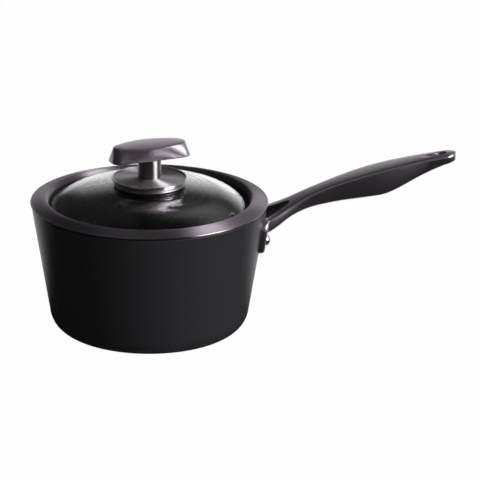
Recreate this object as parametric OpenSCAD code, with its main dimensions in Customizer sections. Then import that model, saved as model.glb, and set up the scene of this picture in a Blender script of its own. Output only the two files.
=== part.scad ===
// Saucepan with a glass lid.
// The pan's axis is Z, its base stands on z = 0 and the handle points along +X.

/* [Pan] */
// Outer radius of the wall at the rim
rim_r = 94.1; // [80:0.1:110]
// Height of the rim above the surface the pan stands on
pan_h = 104.2; // [90:0.1:130]
// Lean of the wall from the vertical, in degrees
taper = 9; // [4:0.1:11]
// Thickness of the wall
wall_t = 3.4; // [2.5:0.1:4]
// Outer radius of the bottom corner
corner_r = 17; // [12:0.5:22]
// Height of the inside floor
floor_z = 7; // [6:0.5:10]
// Radius of the induction plate
plate_r = 58; // [40:1:60]
// Thickness of the induction plate
plate_t = 3; // [2:0.5:4]

/* [Handle] */
// Reach of the handle beyond the rim
reach = 151.6; // [135:1:180]
// Height of the tip's top above the rim
tip_rise = 38.6; // [25:0.1:50]
// Half width at the broadest part of the grip
grip_hw = 12.3; // [10:0.1:15]
// Half width of the narrow waist
waist_hw = 10.4; // [8:0.1:12]
// Half width over the two legs at the flange
root_hw = 21; // [18:0.5:23]
// Depth of the belly, top to bottom
belly_t = 23.1; // [18:0.1:28]
// Width of the bottom as a share of the top
belly_share = 0.58; // [0.45:0.01:0.8]
// Radius of the hanging hole
hole_r = 4; // [3:0.1:4.5]
// Half width of the open slot between the legs, at the wall
slot_hw = 12.4; // [10:0.1:15]
// Radius of the slot's far end
slot_r = 6; // [3:0.1:6.5]
// Length of the open slot beyond the rim
slot_reach = 18.2; // [12:0.1:22]
// Thickness of the flange on the wall
flange_t = 4.5; // [3:0.1:5]
// Radius of the rivet heads
rivet_head_r = 4.8; // [4:0.1:5]
// Distance between the two rivets
rivet_gap = 28; // [24:0.5:30]

/* [Lid] */
// Radius of the steam vent's hole in the glass
vent_r = 1.5; // [1.2:0.1:3]
// Radius of the glass dome
dome_r = 270; // [220:1:340]
// Radius of the shoulder where the glass turns down
shoulder_r = 57; // [50:1:80]
// Distance of the shoulder's start from the rim
shoulder_w = 39.8; // [34:0.1:44]
// Thickness of the glass
glass_t = 4; // [3:0.5:5]
// Width of the band, from its outer edge to its crest
band_w = 11; // [9.5:0.1:13]
// Thickness of the band's sheet steel
sheet_t = 0.7; // [0.5:0.1:0.8]
// Direction of the steam vent, in degrees from the handle
vent_turn = -33; // [-90:1:90]

/* [Knob] */
// Radius of the disc under the grip
disc_r = 30.4; // [26:0.1:34]
// Radius of the post
stem_r = 9.25; // [7:0.05:11]
// Height of the post
stem_h = 15; // [12:0.5:22]
// Length of the grip at its underside
bar_l = 67.4; // [55:0.1:80]
// Width of the grip's top
bar_w = 29.8; // [24:0.1:34]
// Width of the grip at its underside
foot_w = 20.4; // [16:0.1:24]
// Height of the grip
bar_h = 11.8; // [10:0.1:15]
// Direction of the grip, in degrees from the handle
bar_turn = 20; // [0:1:180]

/* [Hidden] */

base_z = 0.3;                        // the wall's metal ends just above the surface
rim_round = 0.9;
fit = 0.1;                           // a pin in its hole
seat = 0.05;                         // between a soft ring and the curved face it bears on
mid_z = pan_h / 2;
FN = 180;

// Lid, from the rim down to the glass
crest_r = rim_r - band_w;
lip_r = crest_r - 1.9;               // inner lip of the band
lip_z = pan_h + 0.5;                 // where the lip meets the seal
seal_r = lip_r - 1.7;                // where the glass leaves the seal
edge_r = lip_r + 2.4;                // edge of the glass
glass_foot = pan_h - 5.6;            // flat foot of the glass
bend = asin((rim_r - shoulder_w) / dome_r);
hip = (dome_r - shoulder_r) * [sin(bend), cos(bend)]; // centre of the shoulder, from the dome's centre
rest_z = pan_h - 0.85;               // height of the glass where it leaves the seal
dome_z = rest_z - hip.y - sqrt(pow(shoulder_r, 2) - pow(seal_r - hip.x, 2));
inner_r = dome_r - glass_t;
skirt_r = wall_in(pan_h - 7) - 0.75; // locating skirt, clear of the wall
foot_r = hip.x + sqrt(pow(shoulder_r - glass_t, 2) - pow(glass_foot - dome_z - hip.y, 2));
seal_low = glass_foot - 0.8;
vent_at = lip_r - 5.9;

// Knob, from the glass up
gasket_t = 0.8;
gasket_r = disc_r - 2.4;
collar_z = dome_z + dome_r + gasket_t;
disc_z = collar_z + 2;               // underside of the disc
hub_z = disc_z + 2.1;                // seat of the post
bar_z = hub_z + stem_h;              // underside of the grip
bar_top = bar_z + bar_h;
screw_r = 2.45;
pass_r = 2.8;
insert_h = 8;
under_z = dome_z + inner_r - 1 - 1.6; // flat side of the cupped washer
under_r = 9;
lock_t = 0.8;
head_h = 3;

// Radius of the wall's outside and inside at a height
function wall_out(z) = rim_r - (pan_h - z) * tan(taper);
function wall_in(z) = wall_out(z) - wall_t / cos(taper);

// Points along an arc
function arc(cx, cy, r, a0, a1, n = 10) =
    [for (i = [0:n]) let (a = a0 + (a1 - a0) * i / n) [cx + r * cos(a), cy + r * sin(a)]];
function flip(p) = [for (i = [len(p) - 1:-1:0]) p[i]];

// Smooth curve through a list of [x, value] knots
function seg(k, x, i = 0) = (i >= len(k) - 2 || x < k[i + 1].x) ? i : seg(k, x, i + 1);
function grade(k, i) = let (a = max(i - 1, 0), b = min(i + 1, len(k) - 1))
    (k[b].y - k[a].y) / (k[b].x - k[a].x);
function curve(k, x) = let (i = seg(k, x), h = k[i + 1].x - k[i].x, t = (x - k[i].x) / h)
    k[i].y * (1 + 2 * t) * (1 - t) * (1 - t) + grade(k, i) * h * t * (1 - t) * (1 - t)
    + k[i + 1].y * t * t * (3 - 2 * t) - grade(k, i + 1) * h * t * t * (1 - t);

// Smooth path through points, n steps between each pair
function path(p, n = 4) = concat([for (i = [0:len(p) - 2], j = [0:n - 1])
    let (t = j / n, a = p[max(i - 1, 0)], b = p[i], c = p[i + 1], d = p[min(i + 2, len(p) - 1)])
    0.5 * (2 * b + (c - a) * t + (2 * a - 5 * b + 4 * c - d) * t * t
        + (3 * b - a - 3 * c + d) * t * t * t)], [p[len(p) - 1]]);

// Outline of a strip of sheet metal that follows a path
function unit(v) = v / norm(v);
function side(p, i) = let (a = unit(p[max(i, 1)] - p[max(i, 1) - 1]),
    b = unit(p[min(i, len(p) - 2) + 1] - p[min(i, len(p) - 2)]), m = unit(a + b))
    [-m.y, m.x] / max(0.5, m * a);
function strip(p, t) = concat([for (i = [0:len(p) - 1]) p[i] + side(p, i) * t / 2],
    flip([for (i = [0:len(p) - 1]) p[i] - side(p, i) * t / 2]));

// Skin over rings that all have the same number of points
module loft(rings) {
    n = len(rings[0]);
    m = len(rings);
    polyhedron(points = [for (r = rings) each r], faces = concat(
        [[for (j = [n - 1:-1:0]) j]], [[for (j = [0:n - 1]) (m - 1) * n + j]],
        [for (i = [0:m - 2], j = [0:n - 1]) [i * n + j, (i + 1) * n + (j + 1) % n, (i + 1) * n + j]],
        [for (i = [0:m - 2], j = [0:n - 1]) [i * n + j, i * n + (j + 1) % n, (i + 1) * n + (j + 1) % n]]));
}

// Round shell between two spheres that share the dome's centre, for what lies on the middle of the glass
module dome(ro, ri, r0, r1) {
    translate([0, 0, dome_z]) rotate_extrude($fn = FN) intersection() {
        difference() {
            circle(r = ro, $fn = 720);
            circle(r = ri, $fn = 720);
        }
        translate([r0, 0]) square([r1 - r0, ro + 1]);
    }
}

// Solid cone that fills the pan up to one of its wall faces
module wall_cone(grow, z0 = -20, z1 = 140) {
    translate([0, 0, z0]) cylinder(r1 = wall_out(z0) + grow, r2 = wall_out(z1) + grow, h = z1 - z0, $fn = FN);
}

// ---- Pan ----

module pan_body() {
    co = base_z + corner_r;
    ri = corner_r - 4;
    ci = floor_z + ri;
    ro_c = wall_out(co) - corner_r / cos(taper);
    ri_c = wall_in(ci) - ri / cos(taper);
    top = pan_h - rim_round;
    rr = rim_round / cos(taper);
    profile = concat([[0, base_z]],
        arc(ro_c, co, corner_r, -90, -taper, 20),
        arc(wall_out(top) - rr, top, rim_round, -taper, 90, 5),
        arc(wall_in(top) + rr, top, rim_round, 90, 180 - taper, 5),
        flip(arc(ri_c, ci, ri, -90, -taper, 20)),
        [[0, floor_z]]);
    color([0.10, 0.10, 0.11]) difference() {
        rotate_extrude($fn = FN) polygon(profile);
        translate([0, 0, -1]) cylinder(r = plate_r, h = plate_t + 1, $fn = FN);
        for (s = [-1, 1]) rivet_line(s) translate([0, 0, -20]) cylinder(r = rivet_r, h = 40, $fn = 48);
    }
}

module base_plate() {
    color([0.62, 0.62, 0.64]) rotate_extrude($fn = FN)
        polygon([[0, 0], [plate_r - 0.6, 0], [plate_r, 0.6], [plate_r, plate_t], [0, plate_t]]);
}

// ---- Handle ----

rivet_z = pan_h - 28;
rivet_r = 3;
root_x = wall_out(pan_h - 12) - 4;
tip_x = rim_r + reach;
tip_r = 8.6;

// Lines of the handle, as reach beyond the rim against height, half width or depth
top_line = [[root_x, pan_h - 12.6], [rim_r + 0.04 * reach, pan_h - 7.8], [rim_r + 0.25 * reach, pan_h + 8.5],
            [rim_r + 0.5 * reach, pan_h + 22.3], [rim_r + 0.75 * reach, pan_h + 31.8],
            [tip_x, pan_h + tip_rise]];
plan_line = [[root_x, root_hw], [rim_r + 0.04 * reach, root_hw - 3], [rim_r + 0.13 * reach, waist_hw + 2.7],
             [rim_r + 0.27 * reach, waist_hw], [rim_r + 0.5 * reach, grip_hw],
             [rim_r + 0.66 * reach, grip_hw - 0.4], [rim_r + 0.83 * reach, 9.6], [tip_x, 8]];
depth_line = [[root_x, 13], [rim_r + 0.04 * reach, 11.6], [rim_r + 0.14 * reach, 10],
              [rim_r + 0.33 * reach, 15.7], [rim_r + 0.6 * reach, belly_t],
              [rim_r + 0.68 * reach, belly_t - 1.4],
              [rim_r + 0.82 * reach, 14.6], [rim_r + 0.91 * reach, 10.6], [tip_x, 8.4]];
// Width of the bottom as a share of the top: upright legs, then the grip's draft
share_line = [[root_x, 0.93], [rim_r + 0.12 * reach, 0.86], [rim_r + 0.3 * reach, 0.66],
              [rim_r + 0.45 * reach, belly_share], [tip_x, belly_share]];

// One cross-section: crowned top, soft top edges, drafted sides, round bottom
function handle_ring(x, s, drop) = let (w = s * curve(plan_line, x), d = curve(depth_line, x),
    zt = curve(top_line, x) - drop, zb = zt + 2 * drop - d, re = min(2.2, w / 2),
    wb = w * curve(share_line, x), rb = min(4.5, wb * 0.7, d / 3),
    half = concat([[0.45 * w, zt + 0.3]], arc(w - re, zt - re, re, 88, 4, 5),
        arc(wb - rb, zb + rb, rb, -6, -86, 5)))
    [for (p = concat([[0, zt + 0.4]], half, [[0, zb]], [for (q = flip(half)) [-q.x, q.y]])) [x, p.x, p.y]];

module handle_bar() {
    steps = 30;
    x1 = tip_x - tip_r;
    loft(concat([for (i = [0:steps]) handle_ring(root_x - 6 + (x1 - root_x + 6) * i / steps, 1, 0)],
        [for (a = [15, 30, 45, 60, 75, 86]) handle_ring(x1 + tip_r * sin(a), cos(a), 1.2 * (1 - cos(a)))]));
}

// Open slot between the legs, from a height up
module slot(z) {
    x0 = root_x - 10;
    x1 = rim_r + slot_reach - slot_r;
    lean = atan((slot_hw - slot_r) / (x1 - rim_r));
    end = [x1 + slot_r * sin(lean), slot_r * cos(lean)];
    w0 = end.y + (end.x - x0) * tan(lean);
    translate([0, 0, z]) linear_extrude(pan_h) union() {
        polygon([[x0, -w0], [end.x, -end.y], [end.x, end.y], [x0, w0]]);
        translate([x1, 0]) circle(r = slot_r, $fn = 64);
    }
}

// Half outline of the flange from its top middle to its bottom middle, as [across, height]
function shield(w0 = root_hw + 5.6, w1 = rivet_gap / 2 + rivet_head_r + 3.6, zt = pan_h - 10.4,
    zb = rivet_z - rivet_head_r - 7.2, rt = 7, rb = 9) =
    let (dy = w0 - rt - w1 + rb, dz = zt - rt - zb - rb,
         turn = atan2(dz, dy) - acos((rb - rt) / sqrt(dy * dy + dz * dz)))
    concat([for (i = [0:4]) [i * (w0 - rt) / 5, zt]], arc(w0 - rt, zt - rt, rt, 90, turn, 7),
           arc(w1 - rb, zb + rb, rb, turn, -90, 7), [for (i = [3:-1:0]) [i * (w1 - rb) / 4, zb]]);

// Flange: a thick skin on the wall with soft edges
module flange() {
    half = shield();
    zc = rivet_z + 4;
    t = flange_t / cos(taper);
    loft([for (k = [[1, -1], [1, 0.45 * t], [0.99, 0.72 * t], [0.965, 0.9 * t], [0.92, 0.99 * t], [0.85, t],
                    [0.5, t], [0.2, t], [0.02, t]])
        [for (p = concat(half, [for (q = flip(half)) if (q.x > 0) [-q.x, q.y]]))
            let (y = p.x * k[0], z = zc + (p.y - zc) * k[0])
                [sqrt(pow(wall_out(z) + k[1], 2) - y * y), y, z]]]);
}

module hang_frame() {
    translate([tip_x - 10.4, 0, curve(top_line, tip_x - 10.4) - 4.5]) rotate([0, -12, 0]) children();
}

module handle() {
    color([0.30, 0.29, 0.30]) difference() {
        union() {
            flange();
            difference() {
                handle_bar();
                slot(pan_h - 60);
            }
        }
        slot(rivet_z + rivet_head_r + 3);
        wall_cone(0);
        for (s = [-1, 1]) rivet_line(s) translate([0, 0, -20]) cylinder(r = rivet_r, h = 40, $fn = 48);
        // The hole's seam is turned clear of the middle plane, and a scoop leads into its near side
        hang_frame() rotate([0, 0, 7]) translate([0, 0, -belly_t])
            cylinder(r = hole_r, h = 2 * belly_t, $fn = 64);
        hang_frame() translate([1, 0, 3.6]) rotate([0, -70, 0]) cylinder(r = hole_r - 0.6, h = 30, $fn = 64);
    }
}

// ---- Rivets ----

// Origin on the wall's outer face, Z out of the wall
module rivet_line(s) {
    rotate([0, 0, s * asin(rivet_gap / 2 / wall_out(rivet_z))])
        translate([wall_out(rivet_z), 0, rivet_z]) rotate([0, 90 + taper, 0]) children();
}

// Low domed head that sits on z = 0
module head(r, h) {
    R = (r * r + h * h) / (2 * h);
    rotate_extrude($fn = 64) intersection() {
        translate([0, h - R]) circle(r = R, $fn = 180);
        square([r, h]);
    }
}

// The inner head stands off a hair, because the wall curves round it
module rivet(s) {
    color([0.82, 0.82, 0.83]) rivet_line(s) union() {
        translate([0, 0, -wall_t - 0.7]) cylinder(r = rivet_r, h = wall_t + flange_t + 1.2, $fn = 48);
        translate([0, 0, flange_t]) head(rivet_head_r, 3);
        translate([0, 0, -wall_t - 0.2]) mirror([0, 0, 1]) head(5.6, 1.8);
    }
}

module rivet_left() rivet(1);
module rivet_right() rivet(-1);

// ---- Lid ----

// One folded sheet: lip, band, open hem over the rim, skirt inside the mouth, shelf under the seal
module lid_rim() {
    t = sheet_t;
    foot = pan_h + t / 2;
    hem = t / 2 + 0.05;
    hem_z = foot + hem + 0.5;
    band = path([[lip_r, lip_z + 0.1], [lip_r + 0.15, pan_h + 2.2], [lip_r + 0.8, pan_h + 3.9],
                 [crest_r, pan_h + 4.65], [crest_r + 3, pan_h + 4.3], [crest_r + 6.8, pan_h + 3.05],
                 [rim_r - 0.9, hem_z + hem + 0.1]], 3);
    fold = arc(rim_r, hem_z, hem, 75, -90, 5);
    skirt = concat([[rim_r - 0.8, foot + 0.42], [rim_r - 1.5, foot + 0.08], [rim_r - 2, foot],
                    [skirt_r + 1.6, foot]], arc(skirt_r + 1, foot - 1, 1, 100, 175, 4),
                   arc(skirt_r - 1.2, pan_h - 5.5, 1.2, 0, -80, 4));
    low = [for (r = [skirt_r - 2, edge_r + 1.8, foot_r + 0.6]) [r, seal_low - t / 2]];
    color([0.45, 0.44, 0.45]) rotate_extrude($fn = FN) polygon(strip(concat(band, fold, skirt, low), t));
}

module rim_seal() {
    color([0.04, 0.04, 0.04]) difference() {
        rotate_extrude($fn = FN) polygon([[seal_r, rest_z - 0.6], [seal_r, rest_z + 0.3],
            [lip_r - 0.4, lip_z - 0.35], [lip_r + 1.2, lip_z - 0.35], [edge_r + 0.6, lip_z - 1.6],
            [edge_r + 1.4, lip_z - 2.6], [edge_r + 1.4, seal_low], [foot_r + 0.4, seal_low],
            [foot_r + 0.4, glass_foot + 0.6]]);
        glass_form();
    }
}

// A face of the glass at a depth, from one radius to another: a shallow dome, then the shoulder
function glass_line(t, r0, r1) = let (R = dome_r - t, S = shoulder_r - t, a1 = asin((r1 - hip.x) / S))
    concat(arc(0, dome_z, R, 90 - asin(r0 / R), 90 - bend, 8),
        [for (i = [1:14]) let (a = bend + (a1 - bend) * i / 14)
            [hip.x + S * sin(a), dome_z + hip.y + S * cos(a)]]);

// The whole glass before its vent is drilled
module glass_form() {
    rotate_extrude($fn = FN) polygon(concat(glass_line(0, pass_r + 1.2, edge_r),
        [[edge_r, glass_foot]], flip(glass_line(glass_t, pass_r + 1.2, foot_r))));
}

// Origin on the centre of the shoulder, Z out through the vent
module vent_frame() {
    rotate([0, 0, vent_turn]) translate([hip.x, 0, dome_z + hip.y])
        rotate([0, asin((vent_at - hip.x) / shoulder_r), 0]) children();
}

module lid_glass() {
    color([0.75, 0.82, 0.80, 0.35]) difference() {
        glass_form();
        vent_frame() translate([0, 0, shoulder_r - 2 * glass_t])
            cylinder(r = vent_r, h = 3 * glass_t, $fn = 48);
    }
}

// Tube through the glass with a lip at each end; the inner lip stands off a hair, as the glass curves down
module vent_eyelet() {
    low = shoulder_r - glass_t - fit - 0.05;
    color([0.80, 0.80, 0.81]) vent_frame() difference() {
        union() {
            translate([0, 0, low - 0.8]) cylinder(r = vent_r + 0.6, h = 0.8, $fn = 48);
            translate([0, 0, low - 0.5]) cylinder(r = vent_r - fit, h = shoulder_r - low + 0.9, $fn = 48);
            translate([0, 0, shoulder_r]) cylinder(r = vent_r + 0.6, h = 0.4, $fn = 48);
            translate([0, 0, shoulder_r + 0.4])
                cylinder(r1 = vent_r + 0.6, r2 = vent_r + 0.1, h = 0.5, $fn = 48);
        }
        translate([0, 0, shoulder_r - 2 * glass_t]) cylinder(r = vent_r - 0.6, h = 3 * glass_t, $fn = 48);
    }
}

// ---- Knob ----

module knob_gasket() {
    color([0.05, 0.05, 0.05]) dome(dome_r + gasket_t - seat, dome_r + seat, pass_r + 0.2, gasket_r);
}

// Turned ring: an outer bead, a groove and a broader foot that follows the glass
module knob_collar() {
    r = disc_r - 1.2;
    color([0.66, 0.66, 0.67]) difference() {
        rotate_extrude($fn = FN) polygon([[pass_r, collar_z - 6], [r - 0.8, collar_z - 6],
            [r - 0.6, disc_z - 2.8], [r - 0.9, disc_z - 2.4], [r - 2.6, disc_z - 2.4],
            [r - 2.6, disc_z - 1.2],
            [r - 0.3, disc_z - 1.2], [r, disc_z - 0.9], [r, disc_z - 0.3], [r - 0.3, disc_z],
            [pass_r, disc_z]]);
        dome(dome_r + gasket_t, 10, 0, disc_r + 5);
    }
}

// Disc with a round rim and a face that sweeps up to the post
module knob_flange() {
    b = 0.9;
    sweep = [for (i = [0:12]) let (r = disc_r - 2 - (disc_r - 2 - stem_r - 0.4) * i / 12,
        u = i / 12) [r, disc_z + 0.9 + 1.2 * u * u]];
    color([0.72, 0.71, 0.71]) rotate_extrude($fn = FN) polygon(concat([[pass_r, disc_z]],
        arc(disc_r - b, disc_z + b, b, -90, 150, 14), sweep, [[pass_r, hub_z]]));
}

module knob_stem() {
    color([0.40, 0.39, 0.40]) translate([0, 0, hub_z]) rotate_extrude($fn = 96)
        polygon([[pass_r, 0], [stem_r - 0.3, 0], [stem_r, 0.3], [stem_r, stem_h - 0.3],
                 [stem_r - 0.3, stem_h], [pass_r, stem_h]]);
}

// One level of the grip: bowed long sides and short ends with round corners
function bar_half(l, w, we, rc) = concat([for (i = [0:6]) let (x = (l / 2 - rc) * i / 6)
    [x, w / 2 - (w - we) / 2 * pow(2 * x / l, 2)]],
    [for (a = [15:15:90]) let (x = l / 2 - rc + rc * sin(a))
        [x, w / 2 - (w - we) / 2 * pow(2 * x / l, 2) - rc + rc * cos(a)]]);
function bar_ring(l, w, we, rc, z) = let (h = bar_half(l, w, we, rc), n = len(h) - 1)
    [for (p = concat(h, [for (i = [n:-1:0]) [h[i].x, -h[i].y]], [for (i = [1:n]) [-h[i].x, -h[i].y]],
        [for (i = [n:-1:1]) [-h[i].x, h[i].y]])) [p.x, p.y, z]];

// A straight bar at the underside that opens into a lens-shaped top with a low crown
module knob_grip() {
    re = 1.2;
    rt = 0.6;
    crown = 0.7;
    function level(z, cut, s = 1) = let (u = min(1, z / bar_h))
        bar_ring(s * (bar_l - 7 * u - 2 * cut), s * (foot_w + (bar_w - foot_w) * u - 2 * cut),
                 s * (foot_w - 1.4 + (bar_w - foot_w - 18.1) * u - 2 * cut), s * (6 - 1.3 * u), bar_z + z);
    color([0.33, 0.32, 0.33]) difference() {
        rotate([0, 0, bar_turn]) loft(concat(
            [for (a = [0:30:90]) level(re * (1 - cos(a)), re * (1 - sin(a)))],
            [for (a = [0:45:90]) level(bar_h - rt + rt * sin(a), rt * (1 - cos(a)))],
            [for (s = [0.8, 0.6, 0.4, 0.2, 0.04]) level(bar_h + crown * (1 - s * s), rt, s)]));
        translate([0, 0, bar_z - 1]) cylinder(r = 4.5, h = insert_h + 1, $fn = 48);
    }
}

module grip_insert() {
    color([0.78, 0.62, 0.30]) translate([0, 0, bar_z]) difference() {
        cylinder(r = 4.5, h = insert_h, $fn = 48);
        translate([0, 0, -1]) cylinder(r = screw_r + 0.05, h = insert_h - 0.5, $fn = 48);
    }
}

module knob_screw() {
    seat = under_z - lock_t;
    color([0.70, 0.70, 0.72]) difference() {
        union() {
            translate([0, 0, seat - head_h]) rotate_extrude($fn = 64)
                polygon([[0, 0], [3.6, 0], [4.6, 0.9], [4.8, 2], [4.8, head_h], [0, head_h]]);
            translate([0, 0, seat - 1])
                cylinder(r = screw_r, h = bar_z + insert_h - 2.5 - seat + 1, $fn = 48);
        }
        translate([0, 0, seat - head_h - 1]) cylinder(r = 2.1, h = 2.8, $fn = 6);
    }
}

module lock_washer() {
    color([0.60, 0.60, 0.62]) translate([0, 0, under_z - lock_t]) difference() {
        cylinder(r = 4.5, h = lock_t, $fn = 64);
        translate([0, 0, -1]) cylinder(r = 2.6, h = lock_t + 2, $fn = 48);
        translate([0, -0.4, -1]) cube([6, 0.8, lock_t + 2]);
    }
}

module under_washer() {
    color([0.70, 0.70, 0.72]) intersection() {
        dome(inner_r - 1 - seat, inner_r - 5, pass_r, under_r);
        translate([0, 0, under_z]) cylinder(r = under_r + 1, h = 5, $fn = 64);
    }
}

module under_gasket() {
    color([0.05, 0.05, 0.05]) dome(inner_r - seat, inner_r - 1, pass_r + 0.2, under_r + 1);
}

pan_body();
base_plate();
handle();
rivet_left();
rivet_right();
lid_rim();
rim_seal();
lid_glass();
vent_eyelet();
knob_gasket();
knob_collar();
knob_flange();
knob_stem();
knob_grip();
grip_insert();
knob_screw();
lock_washer();
under_washer();
under_gasket();
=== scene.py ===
import bpy, bmesh, math
from mathutils import Matrix, Vector


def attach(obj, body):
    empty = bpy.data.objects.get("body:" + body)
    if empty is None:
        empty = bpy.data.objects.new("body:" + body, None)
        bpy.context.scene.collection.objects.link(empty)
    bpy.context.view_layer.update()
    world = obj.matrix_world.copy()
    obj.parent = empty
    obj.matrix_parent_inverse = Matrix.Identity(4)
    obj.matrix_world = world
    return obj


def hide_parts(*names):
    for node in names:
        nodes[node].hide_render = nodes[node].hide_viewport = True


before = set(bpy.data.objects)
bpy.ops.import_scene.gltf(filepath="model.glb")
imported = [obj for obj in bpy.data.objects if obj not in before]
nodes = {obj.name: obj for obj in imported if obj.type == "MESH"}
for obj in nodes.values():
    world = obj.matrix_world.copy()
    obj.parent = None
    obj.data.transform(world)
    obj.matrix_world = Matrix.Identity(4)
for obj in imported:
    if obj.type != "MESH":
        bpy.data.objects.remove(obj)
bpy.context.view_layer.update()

# ---------------------------------------------------------------- sizes (metres)

GRAIN_STRETCH = 0.004               # length that the noise takes for a radian round the axis
CAVITY_FOOT = (0.0752, 0.0760)      # the cavity's radius at height 0, where lining turns into skin
CAVITY_SLOPE = 0.158                # radius that the cavity gains with its height
CAVITY_FLOOR = (0.0035, 0.0065)     # heights between the base's outside and the cavity's floor
BAND_EDGE = (0.0941, 0.0945)        # radii at which the lid band's polished edge starts
DISC_EDGE = (0.0290, 0.0294)        # and the knob disc's
WELD = 0.00002                      # points nearer than this are one in the smooth castings
SMOOTH_ANGLE = 38                   # degrees, above which a casting's edge stays sharp
FLOOR_SIZE = 8.0
FLOOR_DROP = 0.0002                 # the floor's distance below the base

# ---------------------------------------------------------------- material helpers


class Mat:
    """Builds one procedural material round a Principled shader."""

    def __init__(self, name, color, rough, metal=0.0, **fixed):
        self.m = bpy.data.materials.new(name)
        self.m.use_nodes = True
        self.nt = self.m.node_tree
        self.p = self.nt.nodes["Principled BSDF"]
        self.p.inputs["Base Color"].default_value = (*color, 1)
        self.p.inputs["Roughness"].default_value = rough
        self.p.inputs["Metallic"].default_value = metal
        for k, v in fixed.items():
            self.p.inputs[k.replace("_", " ")].default_value = v
        self.tex = self.add("ShaderNodeTexCoord").outputs["Object"]

    def add(self, kind, **props):
        n = self.nt.nodes.new(kind)
        for k, v in props.items():
            setattr(n, k, v)
        return n

    def link(self, a, b):
        self.nt.links.new(a, b)

    def math(self, op, a, b=0.0):
        n = self.add("ShaderNodeMath", operation=op)
        for i, v in enumerate((a, b)):
            if isinstance(v, (int, float)):
                n.inputs[i].default_value = v
            else:
                self.link(v, n.inputs[i])
        return n.outputs[0]

    def xyz(self):
        s = self.add("ShaderNodeSeparateXYZ")
        self.link(self.tex, s.inputs[0])
        return s.outputs[0], s.outputs[1], s.outputs[2]

    def radius(self):
        x, y, _ = self.xyz()
        square = self.math("ADD", self.math("MULTIPLY", x, x), self.math("MULTIPLY", y, y))
        return self.math("SQRT", square)

    def step(self, v, lo, hi):
        """A soft step from 0 to 1 between two values."""
        n = self.add("ShaderNodeMapRange", interpolation_type="SMOOTHSTEP")
        self.link(v, n.inputs["Value"])
        n.inputs["From Min"].default_value = lo
        n.inputs["From Max"].default_value = hi
        return n.outputs["Result"]

    def scaled(self, sx, sy, sz):
        n = self.add("ShaderNodeMapping")
        self.link(self.tex, n.inputs["Vector"])
        n.inputs["Scale"].default_value = (sx, sy, sz)
        return n.outputs["Vector"]

    def rings(self):
        """Angle, radius and height, for grain that runs round the axis."""
        x, y, z = self.xyz()
        c = self.add("ShaderNodeCombineXYZ")
        self.link(self.math("MULTIPLY", self.math("ARCTAN2", y, x), GRAIN_STRETCH), c.inputs[0])
        self.link(self.radius(), c.inputs[1])
        self.link(z, c.inputs[2])
        return c.outputs[0]

    def noise(self, vec, scale, detail=3.0, rough=0.5):
        n = self.add("ShaderNodeTexNoise")
        self.link(vec, n.inputs["Vector"])
        n.inputs["Scale"].default_value = scale
        n.inputs["Detail"].default_value = detail
        n.inputs["Roughness"].default_value = rough
        return n.outputs["Fac"]

    def span(self, fac, lo, hi):
        """A factor of 0 to 1 spread over a range."""
        n = self.add("ShaderNodeMapRange")
        self.link(fac, n.inputs["Value"])
        n.inputs["To Min"].default_value = lo
        n.inputs["To Max"].default_value = hi
        return n.outputs["Result"]

    def mix(self, fac, a, b, data="RGBA"):
        n = self.add("ShaderNodeMix", data_type=data)
        pick = {"RGBA": (6, 7, 2), "FLOAT": (2, 3, 0)}[data]
        for i, v in ((0, fac), (pick[0], a), (pick[1], b)):
            if isinstance(v, tuple):
                n.inputs[i].default_value = (*v, 1)
            elif isinstance(v, (int, float)):
                n.inputs[i].default_value = v
            else:
                self.link(v, n.inputs[i])
        return n.outputs[pick[2]]

    def bump(self, height, dist, strength):
        n = self.add("ShaderNodeBump")
        self.link(height, n.inputs["Height"])
        n.inputs["Distance"].default_value = dist
        n.inputs["Strength"].default_value = strength
        self.link(n.outputs["Normal"], self.p.inputs["Normal"])

    def to(self, value, socket):
        self.link(value, self.p.inputs[socket])

    def round_tangent(self):
        """Turns the grain's direction to run round the object's axis."""
        t = self.add("ShaderNodeTangent", direction_type="RADIAL", axis="Z")
        self.link(t.outputs[0], self.p.inputs["Tangent"])


def dress(mat, *names):
    """Puts a material on every slot of the named nodes."""
    for n in names:
        ms = nodes[n].data.materials
        if len(ms):
            for i in range(len(ms)):
                ms[i] = mat.m
        else:
            ms.append(mat.m)


# ---------------------------------------------------------------- materials

# Pan: satin anodised skin outside, pebbled nonstick inside
body = Mat("anodised_and_nonstick", (0.024, 0.0225, 0.0255), 0.36, 0.0, IOR=1.36)
height = body.xyz()[2]
foot = body.math("SUBTRACT", body.radius(), body.math("MULTIPLY", height, CAVITY_SLOPE))
within = body.math("SUBTRACT", 1.0, body.step(foot, *CAVITY_FOOT))
inside = body.math("MULTIPLY", within, body.step(height, *CAVITY_FLOOR))
fine = body.noise(body.tex, 900, 4)
cloud = body.noise(body.tex, 14, 2)
speck = body.noise(body.tex, 800, 1, 0.4)
skin = body.mix(body.span(cloud, 0.0, 1.0), (0.0215, 0.0202, 0.0232), (0.0265, 0.0250, 0.0282))
lining = body.mix(body.step(speck, 0.62, 0.72), (0.030, 0.029, 0.031), (0.11, 0.107, 0.11))
body.to(body.mix(inside, skin, lining), "Base Color")
body.to(body.mix(inside, body.span(fine, 0.33, 0.40), 0.34, "FLOAT"), "Roughness")
skin_height = body.math("MULTIPLY", fine, 0.03)
pebbles = body.noise(body.tex, 330, 2, 0.5)
body.bump(body.mix(inside, skin_height, pebbles, "FLOAT"), 0.0004, 0.35)
dress(body, "pan_body")

# Induction plate: turned steel
plate = Mat("plate_steel", (0.50, 0.50, 0.51), 0.32, 1.0,
            Anisotropic=0.6, Anisotropic_Rotation=0.25)
ring = plate.noise(plate.rings(), 900, 3)
plate.to(plate.span(ring, 0.26, 0.42), "Roughness")
plate.bump(ring, 0.00006, 0.5)
plate.round_tangent()
dress(plate, "base_plate")

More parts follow.
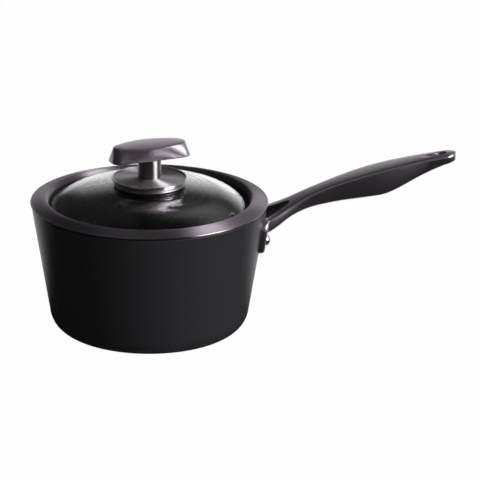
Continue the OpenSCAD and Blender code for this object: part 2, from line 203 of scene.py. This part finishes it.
# Cast metal of the handle and the grip
cast = Mat("satin_cast_metal", (0.46, 0.405, 0.465), 0.33, 1.0)
grain = cast.noise(cast.tex, 1400, 4)
soft = cast.noise(cast.tex, 35, 2)
cast.to(cast.mix(soft, (0.435, 0.383, 0.440), (0.485, 0.427, 0.490)), "Base Color")
cast.to(cast.span(grain, 0.29, 0.39), "Roughness")
cast.bump(grain, 0.00005, 0.35)

# Rivets and eyelet: polished steel
shiny = Mat("polished_steel", (0.72, 0.71, 0.70), 0.14, 1.0)
scuff = shiny.noise(shiny.tex, 700, 3)
shiny.to(shiny.span(scuff, 0.09, 0.22), "Roughness")
shiny.bump(scuff, 0.00003, 0.3)
dress(shiny, "rivet_left", "rivet_right", "vent_eyelet")

# Lid band: brushed round the rim, polished at its lower edge
rim = Mat("brushed_rim", (0.34, 0.302, 0.345), 0.50, 1.0,
          Anisotropic=0.96, Anisotropic_Rotation=0.25)
grain = rim.noise(rim.rings(), 2600, 4, 0.6)
wide = rim.noise(rim.rings(), 260, 2)
edge = rim.step(rim.radius(), *BAND_EDGE)
rim.to(rim.mix(wide, (0.32, 0.284, 0.325), (0.36, 0.320, 0.365)), "Base Color")
rim.to(rim.mix(edge, rim.span(grain, 0.44, 0.56), 0.30, "FLOAT"), "Roughness")
rim.bump(grain, 0.00004, 0.5)
rim.round_tangent()
dress(rim, "lid_rim")

# Knob disc and collar: turned steel, the disc polished at its rim
turned = Mat("turned_steel", (0.60, 0.57, 0.595), 0.62, 1.0,
             Anisotropic=0.93, Anisotropic_Rotation=0.25)
grain = turned.noise(turned.rings(), 3000, 4, 0.6)
edge = turned.step(turned.radius(), *DISC_EDGE)
turned.to(turned.mix(edge, turned.span(grain, 0.57, 0.67), 0.24, "FLOAT"), "Roughness")
turned.to(turned.mix(grain, (0.57, 0.54, 0.565), (0.63, 0.60, 0.625)), "Base Color")
turned.bump(grain, 0.00003, 0.4)
turned.round_tangent()
dress(turned, "knob_flange", "knob_collar")

# Post: satin steel, its grain running round it
post = Mat("satin_post", (0.34, 0.325, 0.33), 0.40, 1.0,
           Anisotropic=0.96, Anisotropic_Rotation=0.25)
grain = post.noise(post.scaled(1, 1, 40), 300, 3)
post.to(post.span(grain, 0.36, 0.44), "Roughness")
post.to(post.mix(grain, (0.31, 0.295, 0.30), (0.37, 0.355, 0.36)), "Base Color")
post.round_tangent()
dress(post, "knob_stem")

# Silicone
sil = Mat("black_silicone", (0.008, 0.008, 0.008), 0.55)
grain = sil.noise(sil.tex, 1500, 2)
sil.to(sil.span(grain, 0.48, 0.62), "Roughness")
sil.bump(grain, 0.00003, 0.3)
dress(sil, "rim_seal", "knob_gasket", "under_gasket")

# Hardware inside the knob and under the glass
brass = Mat("machined_brass", (0.60, 0.42, 0.17), 0.3, 1.0)
grain = brass.noise(brass.rings(), 2000, 2)
brass.to(brass.span(grain, 0.24, 0.4), "Roughness")
dress(brass, "grip_insert")
zinc = Mat("plated_steel", (0.48, 0.48, 0.50), 0.34, 1.0)
grain = zinc.noise(zinc.tex, 1200, 3)
zinc.to(zinc.span(grain, 0.28, 0.44), "Roughness")
zinc.bump(grain, 0.00003, 0.3)
dress(zinc, "knob_screw", "lock_washer", "under_washer")

# Glass with a slight waviness
glass = Mat("clear_glass", (0.98, 0.975, 0.985), 0.0, 0.0, IOR=1.5, Transmission_Weight=1.0)
glass.bump(glass.noise(glass.tex, 22, 1), 0.0002, 0.04)
dress(glass, "lid_glass")

# ---------------------------------------------------------------- smooth castings


def smooth_copy(node, name, body_name, mat):
    """The casting's own surface with its facets shaded as one smooth skin."""
    me = nodes[node].data.copy()
    me.name = name
    ob = bpy.data.objects.new(name, me)
    bpy.context.scene.collection.objects.link(ob)
    bm = bmesh.new()
    bm.from_mesh(me)
    bmesh.ops.remove_doubles(bm, verts=bm.verts, dist=WELD)
    bm.to_mesh(me)
    bm.free()
    bpy.context.view_layer.objects.active = ob
    for o in bpy.context.selected_objects:
        o.select_set(False)
    ob.select_set(True)
    if me.has_custom_normals:
        bpy.ops.mesh.customdata_custom_splitnormals_clear()
    bpy.ops.object.shade_smooth_by_angle(angle=math.radians(SMOOTH_ANGLE))
    me.materials.clear()
    me.materials.append(mat.m)
    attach(ob, body_name)
    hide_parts(node)


smooth_copy("handle", "handle_casting", "pan", cast)
smooth_copy("knob_grip", "grip_casting", "lid", cast)

# ---------------------------------------------------------------- stage, light, camera

# Azimuth 0 is +X, along the handle, and 90 is away from the camera. Angles are in degrees.
# A box of light: azimuth, half width, lowest and highest elevation, soft edge, power.
# With None for the lowest, it has no lower edge.
BASE = 0.035                        # the light from everywhere else
BOXES = [
    (330, 14, -20, 33, 6, 11.0),
    (5, 35, -20, 20, 15, 0.35),
    (36, 40, 34, 60, 13, 0.45),
    (230, 50, 54, 78, 11, 0.35),
]
BACKDROP = (68, 26, None, 19, 10, 1.15)
# A bright part of the floor, as metal and glass mirror it:
# azimuth, half width, nearest distance from the origin, power.
PATCHES = [
    (82, 60, 0.10, 1.0),
    (336, 10, 0.55, 0.8),
]
PATCH_EDGE = 20                     # soft edge of a patch, in degrees
PATCH_FADE = 0.1                    # and in metres
FLOOR_MIRRORED = 0.02               # the rest of the floor, as metal and glass mirror it
FLOOR_WHITE = 0.98                  # share of plain white in the floor that is looked at
FLOOR_GREY = 0.70
WHITE = (1, 1, 1, 1)


def square_sheet(name, size, height, mat):
    """A level square of the stage, centred on the vertical axis."""
    h = size / 2
    me = bpy.data.meshes.new(name)
    me.from_pydata([(-h, -h, 0), (h, -h, 0), (h, h, 0), (-h, h, 0)], [], [(0, 1, 2, 3)])
    me.materials.append(mat)
    ob = bpy.data.objects.new(name, me)
    ob.location = (0, 0, height)
    bpy.context.scene.collection.objects.link(ob)


class Nodes:
    """A bare node tree with short calls, for the floor and the world."""

    def __init__(self, owner, out):
        owner.use_nodes = True
        self.nt = owner.node_tree
        self.nt.nodes.clear()
        self.out = self.nt.nodes.new(out)
        lp = self.nt.nodes.new("ShaderNodeLightPath").outputs
        self.glossy = lp["Is Glossy Ray"]
        # Direct: seen by the camera, or through glass with no bounce before it
        bounces = self.math("ADD", lp["Diffuse Depth"], lp["Glossy Depth"])
        straight = self.math("SUBTRACT", 1.0, self.math("MINIMUM", bounces, 1.0))
        through = self.math("MULTIPLY", lp["Is Transmission Ray"], straight)
        self.direct = self.math("MAXIMUM", lp["Is Camera Ray"], through)

    def add(self, kind, *values, out=0, **props):
        n = self.nt.nodes.new(kind)
        for k, v in props.items():
            setattr(n, k, v)
        for i, v in enumerate(values):
            if isinstance(v, (int, float, tuple)):
                n.inputs[i].default_value = v
            else:
                self.nt.links.new(v, n.inputs[i])
        return n.outputs[out]

    def math(self, op, a, b):
        return self.add("ShaderNodeMath", a, b, operation=op)

    def soft(self, v, lo, hi, top=1.0):
        kind = "SMOOTHSTEP"
        return self.add("ShaderNodeMapRange", v, lo, hi, 0.0, top, interpolation_type=kind)

    def flat(self, vec):
        """The vector's own horizontal part, and that part's unit vector."""
        f = self.add("ShaderNodeVectorMath", vec, (1, 1, 0), operation="MULTIPLY")
        return f, self.add("ShaderNodeVectorMath", f, operation="NORMALIZE")

    def sector(self, unit, az, half, edge, power):
        """The power near an azimuth, fading to 0 over the soft edge at its half width."""
        a = math.radians(az)
        way = (math.cos(a), math.sin(a), 0)
        dot = self.add("ShaderNodeVectorMath", unit, way, operation="DOT_PRODUCT", out=1)
        outer, inner = math.radians(min(half + edge, 180)), math.radians(max(half - edge, 0))
        return self.soft(dot, math.cos(outer), math.cos(inner), power)

    def total(self, first, rest):
        for r in rest:
            first = self.math("ADD", first, r)
        return first

    def mixed(self, fac, a, b):
        return self.add("ShaderNodeMixShader", fac, a, b)

    def end(self, shader):
        self.nt.links.new(shader, self.out.inputs[0])


def paint_floor(mat):
    """White to the camera and through glass, and bright in its patches to metal and glass."""
    f = Nodes(mat, "ShaderNodeOutputMaterial")
    flat, unit = f.flat(f.add("ShaderNodeNewGeometry"))
    away = f.add("ShaderNodeVectorMath", flat, operation="LENGTH", out=1)
    spots = []
    for az, half, near, power in PATCHES:
        beyond = f.soft(away, near - PATCH_FADE, near + PATCH_FADE)
        spots.append(f.math("MULTIPLY", f.sector(unit, az, half, PATCH_EDGE, power), beyond))
    grey = f.add("ShaderNodeBsdfDiffuse", (FLOOR_GREY, FLOOR_GREY, FLOOR_GREY, 1))
    mirrored = f.add("ShaderNodeEmission", WHITE, f.total(FLOOR_MIRRORED, spots))
    shown = f.mixed(FLOOR_WHITE, grey, f.add("ShaderNodeEmission", WHITE, 1.0))
    f.end(f.mixed(f.direct, f.mixed(f.glossy, grey, mirrored), shown))


def paint_world(world):
    """A dim studio with boxes of light, and a white backdrop low behind the object."""
    g = Nodes(world, "ShaderNodeOutputWorld")
    ray = g.add("ShaderNodeTexCoord")
    unit = g.flat(ray)[1]
    z = g.add("ShaderNodeSeparateXYZ", ray, out=2)

    def rise(elevation, edge):
        """Two heights of the unit ray, an edge below and an edge above the elevation."""
        return (math.sin(math.radians(elevation + k * edge)) for k in (-1, 1))

    def box(az, half, low, top, edge, power):
        under, over = rise(top, edge)
        band = g.soft(z, over, under)
        if low is not None:
            band = g.math("MULTIPLY", band, g.soft(z, *rise(low, edge)))
        return g.math("MULTIPLY", band, g.sector(unit, az, half, edge, power))

    level = g.total(BASE, [box(*b) for b in [BACKDROP] + BOXES])
    g.end(g.mixed(g.direct, g.add("ShaderNodeBackground", WHITE, level),
                  g.add("ShaderNodeBackground", WHITE, 1.0)))


floor_mat = bpy.data.materials.new("pale_floor")
paint_floor(floor_mat)
square_sheet("floor", FLOOR_SIZE, -FLOOR_DROP, floor_mat)
world = bpy.data.worlds.new("studio")
bpy.context.scene.world = world
paint_world(world)

# The camera turns about a target: how far round from -Y, how high, how far away, and its roll
TARGET = Vector((0.072874, 0, 0.070746))
CAM_AROUND, CAM_UP, CAM_ROLL = (math.radians(v) for v in (-5.4685, 19.0878, 0.6317))
CAM_AWAY = 2.22746

cam_d = bpy.data.cameras.new("camera")
cam = bpy.data.objects.new("camera", cam_d)
bpy.context.scene.collection.objects.link(cam)
out = math.cos(CAM_UP)
back = Vector((math.sin(CAM_AROUND) * out, -math.cos(CAM_AROUND) * out, math.sin(CAM_UP)))
right = Vector((0, 0, 1)).cross(back).normalized()
up = back.cross(right)
rolled_right = right * math.cos(CAM_ROLL) + up * math.sin(CAM_ROLL)
rolled_up = up * math.cos(CAM_ROLL) - right * math.sin(CAM_ROLL)
pose = Matrix((rolled_right, rolled_up, back)).transposed().to_4x4()
pose.translation = TARGET + back * CAM_AWAY
cam.matrix_world = pose
cam_d.sensor_width = 36
cam_d.lens = 207.78
cam_d.clip_start, cam_d.clip_end = 0.05, 50
bpy.context.scene.camera = cam
bpy.context.scene.view_settings.view_transform = "Standard"
